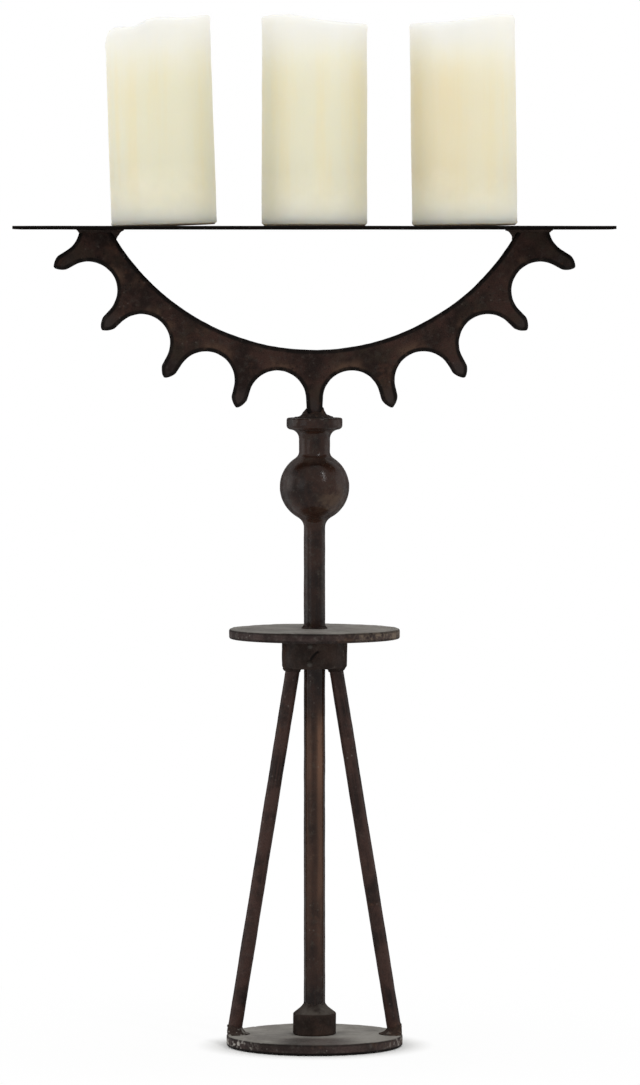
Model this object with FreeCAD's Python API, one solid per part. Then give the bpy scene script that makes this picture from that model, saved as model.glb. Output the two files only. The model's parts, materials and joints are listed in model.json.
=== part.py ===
import FreeCAD, Part
import math
import os

# Welded iron candle stand: a toothed wheel segment on a turned post carries a plate of pillar candles.
# Millimetres, +Z up, origin at the middle of the base's underside, X along the plate.

# Base disc and the socket at the foot of the post
base_diameter = 127.0
base_thickness = 8.0
disc_edge_break = 0.8
post_diameter = 15.4
post_clearance = 0.1
socket_wall = 7.7
socket_straight = 15.4
socket_slope_rise = 5.9
socket_cove_radius = 6.2

# Stays, collar and middle disc
stay_rise = 265.0
stay_diameter = 10.3
stay_foot_inset = 0.2
stay_post_gap = 2.45
collar_lip = 2.95
collar_height = 21.0
collar_edge_break = 1.0
middle_diameter = 123.0
middle_thickness = 7.2

# Ball, neck and flange at the head of the post
ball_rise = 102.0
ball_diameter = 50.0
ball_foot_radius = 8.0
ball_neck_radius = 5.0
neck_diameter = 22.4
neck_cove_radius = 6.6
flange_rise = 49.8
flange_diameter = 40.3
flange_thickness = 8.4
flange_edge_break = 1.8

# Toothed segment of a wheel whose centre is above the plate, its teeth pointing down
wheel_teeth = 24
segment_side_teeth = 4
segment_inner_radius = 167.2
segment_rim_width = 16.4
segment_thickness = 14.0
segment_edge_break = 1.0
tooth_waist_width = 11.9
tooth_reach = 11.5
tooth_shoulder_width = 11.5
tooth_nose_depth = 6.9
tooth_nose_bulge = 0.7
tooth_tip_flat = 1.2

# Top plate, which cuts the segment off level, this far below the roots of its last notches
segment_end_trim = 10.44
plate_overhang = 45.9
plate_depth = 127.0
plate_thickness = 2.4
plate_corner_radius = 2.0

# Weld metal
plate_weld_inner_reach = 11.7
plate_weld_inner_radius = 7.4
plate_weld_outer_radius = 4.5
plate_weld_face_leg = 4.5
flange_weld_inset = 5.4
flange_weld_height = 8.2
flange_weld_crown = 5.6
disc_weld_leg = 2.4
stay_top_weld_leg = 3.4
stay_foot_weld_leg = 7.0
bead_bow_share = 0.15

# Candles
candle_diameter = 76.2
candle_height = 150.5
candle_spacing_share = 0.252
candle_foot_radius = 3.0
well_depth = 38.0
well_rim_wall = 7.1
well_slope_run = 16.0
rim_drop = 8.6
wick_diameter = 2.4
wick_stand = 11.0
wick_clearance = 0.15
tab_inset = 0.5
tab_diameter = 22.0
tab_thickness = 0.8
tab_neck_wall = 0.85
tab_neck_height = 4.0
tab_clearance = 0.2

# The line of each candle's rim, as shares of the radius across and of the rim drop down.
left_rim_shares = (
    (-1.1, 3.4), (-0.99, 2.1), (-0.92, 1.25), (-0.8, 0.92), (-0.45, 0.91),
    (-0.17, 0.4), (0.35, 0.29), (0.64, 0.26), (0.78, 0.15), (1.1, 0.12),
)
centre_rim_shares = ((-1.1, 0.12), (-0.8, 0.0), (-0.4, 0.02), (0.0, 0.36), (0.5, 0.62), (1.1, 0.66))
right_rim_shares = ((-1.1, 0.63), (-0.65, 0.62), (-0.3, 0.6), (0.05, 0.4), (0.45, 0.12), (1.1, 0.0))

# Each candle: name, place in spacings from the middle, degrees that its top leans to -X, and rim.
candles = (
    ("left", -1, 1.9, left_rim_shares),
    ("centre", 0, 0.0, centre_rim_shares),
    ("right", 1, 0.8, right_rim_shares),
)

# Cuts run past what they cut by this much
overrun = 5.0

# Sizes and places that follow, from the floor up
post_bore = post_diameter / 2 + post_clearance
socket_radius = post_bore + socket_wall
stay_radius = stay_diameter / 2
stay_foot_reach = base_diameter / 2 - stay_foot_inset - stay_radius
stay_top_reach = post_bore + stay_post_gap + stay_radius
collar_bottom = base_thickness + stay_rise
collar_radius = stay_top_reach + stay_radius + collar_lip
middle_bottom = collar_bottom + collar_height
middle_top = middle_bottom + middle_thickness
ball_centre_height = middle_top + ball_rise
flange_top = ball_centre_height + flange_rise

# The notches are round, and as wide as the teeth's waists leave them on the notch circle
tooth_pitch = 360.0 / wheel_teeth
half_pitch = math.radians(tooth_pitch / 2)
root_radius = segment_inner_radius + segment_rim_width
notch_circle_radius = (root_radius - tooth_waist_width / 2) / (1 - math.sin(half_pitch))
notch_radius = notch_circle_radius - root_radius
tooth_tip_radius = notch_circle_radius + tooth_reach
segment_centre_height = flange_top + tooth_tip_radius

# The segment ends each side in the notch after its last tooth, where the plate cuts it off
segment_end_turn = (segment_side_teeth + 1 / 2) * tooth_pitch
segment_end_angle = math.radians(segment_end_turn)
segment_end_reach = notch_circle_radius * math.sin(segment_end_angle) - notch_radius
plate_drop = root_radius * math.cos(segment_end_angle) + segment_end_trim
plate_bottom = segment_centre_height - plate_drop
plate_top = plate_bottom + plate_thickness
plate_length = (segment_end_reach + plate_overhang) * 2
candle_spacing = plate_length * candle_spacing_share


def at(x, z):
    """A point in the plane of the segment."""
    return FreeCAD.Vector(x, 0, z)


def line(start, end):
    return Part.LineSegment(start, end).toShape()


def arc(start, end, centre):
    """The shorter arc between two points on a circle about the centre."""
    middle = (start - centre) + (end - centre)
    middle.Length = (start - centre).Length
    return Part.Arc(start, centre + middle, end).toShape()


def closed_outline(points):
    return [line(points[number - 1], points[number]) for number in range(len(points))]


def face_of(edges):
    return Part.Face(Part.Wire(Part.__sortEdges__(edges)))


def turned(edges):
    """Turn a closed outline, drawn to the right of the Z axis, into a solid of revolution."""
    return face_of(edges).revolve(FreeCAD.Vector(), FreeCAD.Vector(0, 0, 1), 360)


def round_bar(radius, bottom, top):
    return Part.makeCylinder(radius, top - bottom, FreeCAD.Vector(0, 0, bottom))


def middle_box(length, depth, bottom, top):
    """A box centred on the post."""
    corner = FreeCAD.Vector(-length / 2, -depth / 2, bottom)
    return Part.makeBox(length, depth, top - bottom, corner)


def broken_disc(radius, bottom, top, edge_break, bore):
    """Plate or ring turned about the post, with both rims broken and a hole where bore isn't zero."""
    return turned(closed_outline([
        at(bore, bottom),
        at(radius - edge_break, bottom),
        at(radius, bottom + edge_break),
        at(radius, top - edge_break),
        at(radius - edge_break, top),
        at(bore, top),
    ]))


def cove_bead(inner, outer, seat, height):
    """Round bead of weld: wide on its seat, and drawn in along a hollow curve to its crown."""
    foot = at(outer, seat)
    crown = at(inner, seat + height)
    heel = at(0, seat)
    axis_top = at(0, seat + height)
    chord = crown - foot
    hollow = FreeCAD.Vector(-abs(height), 0, -math.copysign(outer - inner, height))
    hollow.Length = chord.Length * bead_bow_share
    bow = Part.Arc(foot, (foot + crown) / 2 + hollow, crown).toShape()
    return turned([line(heel, foot), bow, line(crown, axis_top), line(axis_top, heel)])


def base_disc():
    return broken_disc(base_diameter / 2, 0, base_thickness, disc_edge_break, 0)


def middle_disc():
    return broken_disc(middle_diameter / 2, middle_bottom, middle_top, disc_edge_break, post_bore)


def stay_collar():
    return broken_disc(collar_radius, collar_bottom, middle_bottom, collar_edge_break, post_bore)


def post_socket():
    """Straight ring on the base whose shoulder slopes in and then sweeps up along the post."""
    lip_radius = post_bore + post_clearance
    shoulder = at(socket_radius, base_thickness + socket_straight)
    meeting = at(lip_radius, shoulder.z + socket_slope_rise)
    slope = meeting - shoulder
    sweep = math.atan2(socket_radius - lip_radius, socket_slope_rise)
    tangent = socket_cove_radius * math.tan(sweep / 2)
    slope.Length = slope.Length - tangent
    cove_start = shoulder + slope
    cove_end = at(lip_radius, meeting.z + tangent)
    cove_centre = at(lip_radius + socket_cove_radius, cove_end.z)
    heel = at(post_bore, base_thickness)
    rim = at(socket_radius, base_thickness)
    mouth = at(post_bore, cove_end.z)
    return turned([
        line(heel, rim),
        line(rim, shoulder),
        line(shoulder, cove_start),
        arc(cove_start, cove_end, cove_centre),
        line(cove_end, mouth),
        line(mouth, heel),
    ])


def ball_blend(straight_radius, blend_radius, side):
    """Where a blend leaves the straight bar, the blend's centre, and where it touches the ball."""
    ball_radius = ball_diameter / 2
    across = straight_radius + blend_radius
    rise = math.sqrt((ball_radius + blend_radius) ** 2 - across ** 2)
    ball_centre = at(0, ball_centre_height)
    centre = at(across, ball_centre_height + side * rise)
    touch = centre - ball_centre
    touch.Length = ball_radius
    return at(straight_radius, centre.z), centre, ball_centre + touch


def spindle_post():
    """Post, ball, neck and flange as one turned outline, with soft blends into the ball."""
    neck_radius = neck_diameter / 2
    flange_radius = flange_diameter / 2
    flange_under = flange_top - flange_thickness
    ball_centre = at(0, ball_centre_height)
    foot = at(0, base_thickness)
    foot_edge = at(post_diameter / 2, base_thickness)
    post_end, low_centre, low_touch = ball_blend(post_diameter / 2, ball_foot_radius, -1)
    neck_start, high_centre, high_touch = ball_blend(neck_radius, ball_neck_radius, 1)
    ball_waist = at(ball_diameter / 2, ball_centre_height)
    neck_end = at(neck_radius, flange_under - neck_cove_radius)
    cove_centre = at(neck_radius + neck_cove_radius, flange_under - neck_cove_radius)
    cove_end = at(neck_radius + neck_cove_radius, flange_under)
    break_low = at(flange_radius - flange_edge_break, flange_under)
    break_high = at(flange_radius, flange_under + flange_edge_break)
    flange_edge = at(flange_radius, flange_top)
    head = at(0, flange_top)
    return turned([
        line(foot, foot_edge),
        line(foot_edge, post_end),
        arc(post_end, low_touch, low_centre),
        arc(low_touch, ball_waist, ball_centre),
        arc(ball_waist, high_touch, ball_centre),
        arc(high_touch, neck_start, high_centre),
        line(neck_start, neck_end),
        arc(neck_end, cove_end, cove_centre),
        line(cove_end, break_low),
        line(break_low, break_high),
        line(break_high, flange_edge),
        line(flange_edge, head),
        line(head, foot),
    ])


def stay(side):
    """Slanting round bar, cut level under the collar and on the base."""
    foot = at(side * stay_foot_reach, base_thickness)
    top = at(side * stay_top_reach, collar_bottom)
    slope = top - foot
    past = FreeCAD.Vector(slope)
    past.Length = stay_diameter
    bar = Part.makeCylinder(stay_radius, slope.Length + past.Length * 2, foot - past, slope)
    return bar.common(middle_box(base_diameter, base_diameter, base_thickness, collar_bottom))


def wheel_point(turn, radius, aside=0):
    """A point of the wheel: degrees from straight down towards +X, radius, and distance aside."""
    angle = math.radians(turn)
    x = radius * math.sin(angle) + aside * math.cos(angle)
    z = segment_centre_height - radius * math.cos(angle) + aside * math.sin(angle)
    return at(x, z)


def tooth_side(turn, side, inset):
    """One side of a tooth: round notch from its root to the tooth's waist, straight flank, bulging nose."""
    notch_turn = turn + side * tooth_pitch / 2
    notch_centre = wheel_point(notch_turn, notch_circle_radius)
    root = wheel_point(notch_turn, root_radius - inset)
    waist_radius = notch_circle_radius * math.cos(half_pitch)
    waist = wheel_point(turn, waist_radius, side * (tooth_waist_width / 2 - inset))
    shoulder_radius = tooth_tip_radius - tooth_nose_depth
    shoulder = wheel_point(turn, shoulder_radius, side * (tooth_shoulder_width / 2 - inset))
    tip = wheel_point(turn, tooth_tip_radius - inset, side * tooth_tip_flat / 2)
    chord = tip - shoulder
    bulge = FreeCAD.Vector(-side * chord.z, 0, side * chord.x)
    bulge.Length = tooth_nose_bulge
    nose = Part.Arc(shoulder, (shoulder + tip) / 2 + bulge, tip).toShape()
    return [arc(root, waist, notch_centre), line(waist, shoulder), nose], tip


def tooth(turn, inset):
    """Outline of one tooth, from the notch root before it to the notch root after it."""
    before, first_tip = tooth_side(turn, -1, inset)
    after, last_tip = tooth_side(turn, 1, inset)
    return before + [line(first_tip, last_tip)] + after[::-1]


def segment_outline(inset, y):
    """Closed outline of the toothed arc in the plane at y, drawn in by the inset all round."""
    edges = []
    for number in range(-segment_side_teeth, segment_side_teeth + 1):
        edges += tooth(number * tooth_pitch, inset)
    inner_turns = (segment_end_turn, 0, -segment_end_turn)
    inner = [wheel_point(turn, segment_inner_radius + inset) for turn in inner_turns]
    edges.append(line(wheel_point(segment_end_turn, root_radius - inset), inner[0]))
    edges.append(Part.Arc(*inner).toShape())
    edges.append(line(inner[-1], wheel_point(-segment_end_turn, root_radius - inset)))
    outline = Part.Wire(Part.__sortEdges__(edges))
    outline.translate(FreeCAD.Vector(0, y, 0))
    return outline


def cut_under_plate(slab):
    return slab.cut(middle_box(plate_length, plate_depth, plate_bottom, segment_centre_height))


def gear_segment():
    """Toothed arc of the wheel with the edges of its two faces broken."""
    half = segment_thickness / 2
    full = half - segment_edge_break
    layers = ((segment_edge_break, -half), (0, -full), (0, full), (segment_edge_break, half))
    outlines = [segment_outline(inset, y) for inset, y in layers]
    return cut_under_plate(Part.makeLoft(outlines, True, True))


def sharp_segment():
    """The toothed arc with whole edges, which the weld beads are fitted round."""
    start = segment_outline(0, -segment_thickness / 2)
    return cut_under_plate(Part.Face(start).extrude(FreeCAD.Vector(0, segment_thickness, 0)))


def top_plate():
    plate = middle_box(plate_length, plate_depth, plate_bottom, plate_top)
    upright = [edge for edge in plate.Edges if edge.BoundBox.ZLength > plate_thickness / 2]
    return plate.makeFillet(plate_corner_radius, upright)


def plate_weld_run(low):
    """Run of weld under the plate's right half: inside the segment's faces, and coved out at the plate."""
    core = segment_thickness / 2 - segment_edge_break
    leg = plate_weld_face_leg + segment_edge_break
    feet = [FreeCAD.Vector(0, side * (core + leg), plate_bottom) for side in (-1, 1)]
    crowns = [FreeCAD.Vector(0, side * core, plate_bottom - leg) for side in (-1, 1)]
    bases = [FreeCAD.Vector(0, side * core, low - overrun) for side in (-1, 1)]
    edges = [line(*feet), line(*bases)]
    for foot, crown, base in zip(feet, crowns, bases):
        edges.append(arc(foot, crown, FreeCAD.Vector(0, foot.y, crown.z)))
        edges.append(line(crown, base))
    return face_of(edges).extrude(FreeCAD.Vector(plate_length / 2, 0, 0))


def plate_weld(segment):
    """Bead round the segment's right end, coved out under the plate on all four sides."""
    inner_foot_x = math.sqrt(segment_inner_radius ** 2 - plate_drop ** 2) - plate_weld_inner_reach
    outer_foot_x = segment_end_reach + plate_weld_outer_radius
    low = plate_bottom - plate_weld_inner_radius
    high = plate_bottom - plate_weld_outer_radius
    inner_foot = at(inner_foot_x, plate_bottom)
    inner_crown = at(inner_foot_x + plate_weld_inner_radius, low)
    outer_crown = at(segment_end_reach, high)
    outer_foot = at(outer_foot_x, plate_bottom)
    profile = face_of([
        arc(inner_foot, inner_crown, at(inner_foot_x, low)),
        line(inner_crown, outer_crown),
        arc(outer_crown, outer_foot, at(outer_foot_x, high)),
        line(outer_foot, inner_foot),
    ])
    bead = profile.extrude(FreeCAD.Vector(0, plate_depth, 0))
    bead.translate(FreeCAD.Vector(0, -plate_depth / 2, 0))
    return bead.common(plate_weld_run(low)).cut(segment)


def mirrored(shape):
    """The same shape on the other side of the post."""
    return shape.mirror(FreeCAD.Vector(), FreeCAD.Vector(1, 0, 0))


def flange_weld(segment):
    """Bead that flares from the middle tooth on to the flange."""
    outer = flange_diameter / 2 - flange_weld_inset
    return cove_bead(flange_weld_crown, outer, flange_top, flange_weld_height).cut(segment)


def disc_weld():
    """Small coved ring round the post on top of the middle disc."""
    ring = cove_bead(post_bore, post_bore + disc_weld_leg, middle_top, disc_weld_leg)
    return ring.cut(round_bar(post_bore, middle_top - overrun, middle_top + disc_weld_leg + overrun))


def stay_weld(side, reach, seat, height, rim_radius):
    """Bead round one end of a stay, kept inside the rim of its seat and off the post."""
    bead = cove_bead(stay_radius, stay_radius + abs(height), seat, height)
    bead.translate(FreeCAD.Vector(side * reach, 0, 0))
    low = min(seat, seat + height)
    bead = bead.common(round_bar(rim_radius, low, low + abs(height)))
    return bead.cut(stay(side)).cut(round_bar(post_bore, low - overrun, low + abs(height) + overrun))


def stay_top_welds():
    rim = collar_radius - collar_edge_break
    sides = (-1, 1)
    beads = [stay_weld(side, stay_top_reach, collar_bottom, -stay_top_weld_leg, rim) for side in sides]
    return Part.makeCompound(beads)


def stay_foot_welds():
    rim = base_diameter / 2 - disc_edge_break
    sides = (-1, 1)
    beads = [stay_weld(side, stay_foot_reach, base_thickness, stay_foot_weld_leg, rim) for side in sides]
    return Part.makeCompound(beads)


def burnt_well():
    """Bowl that the flame has melted into the top of a candle."""
    floor_height = candle_height - well_depth
    mouth = candle_diameter / 2 - well_rim_wall
    above = candle_height + overrun
    floor_edge = at(mouth - well_slope_run, floor_height)
    lip = at(mouth, candle_height)
    corner = at(mouth, floor_height)
    bowl = ((floor_edge + lip) / 2 + corner) / 2
    return turned([
        line(at(0, floor_height), floor_edge),
        Part.Arc(floor_edge, bowl, lip).toShape(),
        line(lip, at(mouth, above)),
        line(at(mouth, above), at(0, above)),
        line(at(0, above), at(0, floor_height)),
    ])


def melted_away(rim_shares):
    """What is gone above a candle's uneven rim."""
    radius = candle_diameter / 2
    above = candle_height + overrun
    rim = [at(across * radius, candle_height - fall * rim_drop) for across, fall in rim_shares]
    curve = Part.BSplineCurve()
    curve.interpolate(rim)
    corners = [rim[-1], at(rim[-1].x, above), at(rim[0].x, above), rim[0]]
    sides = [line(start, end) for start, end in zip(corners, corners[1:])]
    over = face_of([curve.toShape()] + sides)
    over.translate(FreeCAD.Vector(0, -radius - overrun, 0))
    return over.extrude(FreeCAD.Vector(0, candle_diameter + overrun * 2, 0))


def candle_wax(rim_shares):
    """Upright candle on the origin: rounded foot, burnt well, wick hole and recess for the wick's tab."""
    wax = round_bar(candle_diameter / 2, 0, candle_height)
    foot_edge = [edge for edge in wax.Edges if edge.BoundBox.ZMax < candle_foot_radius]
    wax = wax.makeFillet(candle_foot_radius, foot_edge)
    hole = round_bar(wick_diameter / 2 + wick_clearance, -overrun, candle_height)
    tab_top = tab_inset + tab_thickness + tab_clearance
    tab = round_bar(tab_diameter / 2 + tab_clearance, -overrun, tab_top)
    neck_radius = wick_diameter / 2 + wick_clearance + tab_neck_wall
    neck = round_bar(neck_radius + tab_clearance, -overrun, tab_inset + tab_neck_height + tab_clearance)
    for cutter in (burnt_well(), hole, tab, neck, melted_away(rim_shares)):
        wax = wax.cut(cutter)
    return wax


def candle_wick():
    return round_bar(wick_diameter / 2, tab_inset + tab_thickness, candle_height - well_depth + wick_stand)


def candle_wick_tab():
    """Thin round foot with a short neck that grips the wick."""
    bore = wick_diameter / 2 + wick_clearance
    foot_top = tab_inset + tab_thickness
    neck_top = tab_inset + tab_neck_height
    foot = round_bar(tab_diameter / 2, tab_inset, foot_top)
    neck = round_bar(bore + tab_neck_wall, foot_top, neck_top)
    return foot.fuse(neck.cut(round_bar(bore, foot_top, neck_top + overrun)))


def leaning(shape, lean):
    """Tilt a candle's upright shape so that its top moves towards -X, with its low side settled flat."""
    tilted = shape.copy()
    tilted.rotate(FreeCAD.Vector(), FreeCAD.Vector(0, 1, 0), -lean)
    return tilted.cut(middle_box(candle_diameter * 2, candle_diameter * 2, -candle_foot_radius, 0))


def main():
    segment = sharp_segment()
    right_weld = plate_weld(segment)
    nodes = {
        "base_disc": base_disc(),
        "post_socket": post_socket(),
        "spindle_post": spindle_post(),
        "middle_disc": middle_disc(),
        "stay_collar": stay_collar(),
        "left_stay": stay(-1),
        "right_stay": stay(1),
        "gear_segment": gear_segment(),
        "top_plate": top_plate(),
        "plate_weld_left": mirrored(right_weld),
        "plate_weld_right": right_weld,
        "flange_weld": flange_weld(segment),
        "disc_weld": disc_weld(),
        "stay_top_welds": stay_top_welds(),
        "stay_foot_welds": stay_foot_welds(),
    }
    for name, place, lean, rim_shares in candles:
        seat = FreeCAD.Vector(place * candle_spacing, 0, plate_top)
        pieces = {"wax": candle_wax(rim_shares), "wick": candle_wick(), "wick_tab": candle_wick_tab()}
        for piece, shape in pieces.items():
            standing = leaning(shape, lean)
            standing.translate(seat)
            nodes["candle_" + name + "_" + piece] = standing
    os.makedirs("parts", exist_ok=True)
    for node, shape in nodes.items():
        shape.exportStep("parts/" + node + ".step")
        print(node, "solids", len(shape.Solids), "valid", shape.isValid(), "mm3", round(shape.Volume))


main()
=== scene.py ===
# %% [markdown]
# # Welded iron candelabra
# The object is a candle stand made of scrap and stock iron: a round base, a post with a turned ball, a
# toothed piece of a large chain wheel, and a long flat plate that carries three pillar candles. The packed
# solids give every size and place, so nothing here moves or resizes them. This lesson adds the looks: cast
# and turned iron with rust, sooty edges and dust, lumpy welds, and candles of soft wax.

# %% Load the frame
import json
import math

import bmesh
import bpy
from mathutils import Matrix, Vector, noise
from mathutils.bvhtree import BVHTree
from mathutils.kdtree import KDTree

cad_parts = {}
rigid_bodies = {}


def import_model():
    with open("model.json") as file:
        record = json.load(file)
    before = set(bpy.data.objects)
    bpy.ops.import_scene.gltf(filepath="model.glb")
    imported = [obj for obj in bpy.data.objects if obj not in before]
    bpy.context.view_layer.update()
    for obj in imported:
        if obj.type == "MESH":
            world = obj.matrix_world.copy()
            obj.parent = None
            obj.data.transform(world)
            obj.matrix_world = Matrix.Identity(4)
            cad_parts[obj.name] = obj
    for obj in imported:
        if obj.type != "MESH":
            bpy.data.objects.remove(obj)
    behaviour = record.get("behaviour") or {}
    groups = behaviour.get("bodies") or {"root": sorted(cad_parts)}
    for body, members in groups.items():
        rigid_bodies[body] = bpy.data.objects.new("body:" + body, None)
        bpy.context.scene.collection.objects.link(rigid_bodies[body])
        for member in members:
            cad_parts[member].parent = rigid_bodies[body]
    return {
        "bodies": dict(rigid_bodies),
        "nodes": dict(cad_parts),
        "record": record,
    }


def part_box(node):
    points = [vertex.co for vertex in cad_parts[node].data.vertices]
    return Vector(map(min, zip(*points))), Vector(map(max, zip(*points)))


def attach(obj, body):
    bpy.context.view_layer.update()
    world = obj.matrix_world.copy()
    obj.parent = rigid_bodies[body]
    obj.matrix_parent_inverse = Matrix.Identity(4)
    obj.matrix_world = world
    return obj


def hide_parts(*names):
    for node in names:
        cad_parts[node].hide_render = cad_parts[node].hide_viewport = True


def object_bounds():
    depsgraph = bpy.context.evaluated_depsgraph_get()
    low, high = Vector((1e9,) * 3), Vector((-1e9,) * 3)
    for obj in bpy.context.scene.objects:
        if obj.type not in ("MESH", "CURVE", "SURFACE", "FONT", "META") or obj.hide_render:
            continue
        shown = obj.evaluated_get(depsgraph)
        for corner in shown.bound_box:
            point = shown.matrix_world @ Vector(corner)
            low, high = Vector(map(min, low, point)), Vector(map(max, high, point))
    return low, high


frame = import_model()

scene = bpy.context.scene
nodes = frame["nodes"]
cad_low, cad_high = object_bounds()
mm = 0.001
print("solids:", len(nodes), "box in mm:", [round(size / mm) for size in cad_high - cad_low])

# %% [markdown]
# ## Camera
# The photograph was taken from straight in front, at about the height of the plate and from several metres
# away, so the lens is long and the camera looks slightly down. A camera could be placed by eye, but here it
# is worked out: the scale, the row of the horizon and the row of the floor in the photograph give its place,
# and the size of the discs' ellipses gives the focal length. Looking down shortens the lower half a little, so
# the aim and the lens are stretched until floor and candle rims fall on their rows.

# %% Camera
photo_width, photo_height = 640, 1085
photo_scale = 0.72 * mm
focal_pixels = 6300
horizon_row = 245
floor_row = 1046
aim_row = 541.6
lens_stretch = 1.002
post_column = 314.5
sensor_length = 36

eye = Vector((
    (photo_width / 2 - post_column) * photo_scale,
    -focal_pixels * photo_scale,
    (floor_row - horizon_row) * photo_scale,
))
aim = Vector((eye.x, 0, (floor_row - aim_row) * photo_scale))
camera = bpy.data.objects.new("camera", bpy.data.cameras.new("camera"))
camera.data.sensor_width = sensor_length
camera.data.lens = lens_stretch * focal_pixels * sensor_length / photo_height
camera.location = eye
camera.rotation_euler = (aim - eye).to_track_quat("-Z", "Y").to_euler()
scene.collection.objects.link(camera)
scene.camera = camera
scene.view_settings.view_transform = "Standard"
print("camera at", [round(value, 3) for value in eye], "lens", round(camera.data.lens, 1))

# %% [markdown]
# ## Node helpers
# Materials are built from nodes in code, so a few small helpers keep that readable: one adds a node and feeds
# its inputs with values or links, one mixes two colours, one turns a stretch of a value into a soft mask, one
# multiplies masks, and the rest give a piece's own coordinates and normals, and noise of a named size.

# %% Node helpers
mix_colour_inputs = (6, 7)
mix_colour_output = 2


def feed(tree, socket, value):
    if isinstance(value, bpy.types.NodeSocket):
        tree.links.new(value, socket)
    else:
        socket.default_value = value


def put(tree, kind, inputs=None, **settings):
    """Add a node with its settings, and feed its inputs by name or number."""
    node = tree.nodes.new(kind)
    for name, value in settings.items():
        setattr(node, name, value)
    for name, value in (inputs or {}).items():
        feed(tree, node.inputs[name], value)
    return node


def mix(tree, share, first, second, blend="MIX"):
    """Mix two colours by a share from 0, all first, to 1, all second."""
    first_input, second_input = mix_colour_inputs
    inputs = {"Factor": share, first_input: first, second_input: second}
    return put(tree, "ShaderNodeMix", inputs, data_type="RGBA", blend_type=blend).outputs[mix_colour_output]


def mask(tree, value, low, high, to_low=0.0, to_high=1.0):
    """Turn the stretch from low to high of a value into a soft step."""
    inputs = {"Value": value, "From Min": low, "From Max": high, "To Min": to_low, "To Max": to_high}
    return put(tree, "ShaderNodeMapRange", inputs, interpolation_type="SMOOTHSTEP").outputs["Result"]


def reckon(tree, operation, first, second=0.0):
    return put(tree, "ShaderNodeMath", {0: first, 1: second}, operation=operation).outputs["Value"]


def product(tree, first, *others):
    """Multiply values or masks."""
    for other in others:
        first = reckon(tree, "MULTIPLY", first, other)
    return first


def own_place(tree):
    """The piece's own coordinates in metres, which move with it."""
    return put(tree, "ShaderNodeTexCoord").outputs["Object"]


def coordinates(tree):
    """The same coordinates, split into X, Y and Z."""
    return put(tree, "ShaderNodeSeparateXYZ", {0: own_place(tree)}).outputs


def facing(tree):
    """The piece's own normal, split into X, Y and Z."""
    return put(tree, "ShaderNodeSeparateXYZ", {0: put(tree, "ShaderNodeTexCoord").outputs["Normal"]}).outputs


def drawn_out(tree, squash, sideways=None):
    """The piece's coordinates with the height squashed, so that noise on them makes upright streaks."""
    place = coordinates(tree)
    across = place["X"] if sideways is None else sideways
    inputs = {0: across, 1: place["Y"], 2: product(tree, place["Z"], squash)}
    return put(tree, "ShaderNodeCombineXYZ", inputs).outputs[0]


def clouds(tree, place, scale, detail=4.0, roughness=0.6):
    """Noise from 0 to 1, with about scale lumps to a metre."""
    inputs = {"Vector": place, "Scale": scale, "Detail": detail, "Roughness": roughness}
    return put(tree, "ShaderNodeTexNoise", inputs).outputs["Fac"]


def patches(tree, scale, low, high, to_low=0.0, to_high=1.0, detail=4.0, roughness=0.6):
    """Soft patches, where noise of this scale on the piece passes the stretch from low to high."""
    return mask(tree, clouds(tree, own_place(tree), scale, detail, roughness), low, high, to_low, to_high)


def new_finish(name):
    """A material with its node tree and its main shader."""
    finish = bpy.data.materials.new(name)
    finish.use_nodes = True
    return finish, finish.node_tree, finish.node_tree.nodes["Principled BSDF"]


print("node helpers ready")

# %% [markdown]
# ## Floor and background
# The stand is shown on plain white. A bright lamp on a backdrop would spill on to the iron, so the white comes
# from the Light Path node instead: rays from the camera and rays that metal or wax reflect see white, and the
# light that falls on the object stays at a plain level. Near the base the floor keeps a share of its lit
# colour, so that it still takes a soft shadow, and further out it fades into the backdrop.

# %% Floor and background
white = (1.0, 1.0, 1.0, 1.0)
floor_half_width = 4.0
floor_drop = 0.2 * mm
floor_colour = (0.92, 0.92, 0.91, 1.0)
floor_white_share = 0.9
contact_white_share = 0.0
contact_reach = (0.066, 0.092)
shadow_reach = (0.1, 0.42)
ambient_strength = 0.835


def seen_directly(tree):
    """1 for rays from the camera and for reflected or refracted rays, 0 for light that falls on a surface."""
    rays = put(tree, "ShaderNodeLightPath").outputs
    mirrored = reckon(tree, "MAXIMUM", rays["Is Glossy Ray"], rays["Is Transmission Ray"])
    return reckon(tree, "MAXIMUM", rays["Is Camera Ray"], mirrored)


world = bpy.data.worlds.new("white studio")
world.use_nodes = True
scene.world = world
sky = world.node_tree
sky.nodes.clear()
ambient = put(sky, "ShaderNodeBackground", {"Color": white, "Strength": ambient_strength}).outputs[0]
backdrop = put(sky, "ShaderNodeBackground", {"Color": white, "Strength": 1.0}).outputs[0]
surround = put(sky, "ShaderNodeMixShader", {0: seen_directly(sky), 1: ambient, 2: backdrop}).outputs[0]
put(sky, "ShaderNodeOutputWorld", {"Surface": surround})

floor_finish = bpy.data.materials.new("white floor")
floor_finish.use_nodes = True
ground = floor_finish.node_tree
ground.nodes.clear()
lit = put(ground, "ShaderNodeBsdfDiffuse", {"Color": floor_colour}).outputs[0]
bright = put(ground, "ShaderNodeEmission", {"Color": white, "Strength": 1.0}).outputs[0]
from_base = put(ground, "ShaderNodeVectorMath", {0: own_place(ground)}, operation="LENGTH").outputs["Value"]
far_white = mask(ground, from_base, *shadow_reach, floor_white_share, 1.0)
near_white = mask(ground, from_base, *contact_reach, contact_white_share, 1.0)
share = product(ground, seen_directly(ground), reckon(ground, "MINIMUM", far_white, near_white))
put(ground, "ShaderNodeOutputMaterial",
    {"Surface": put(ground, "ShaderNodeMixShader", {0: share, 1: lit, 2: bright}).outputs[0]})


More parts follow.
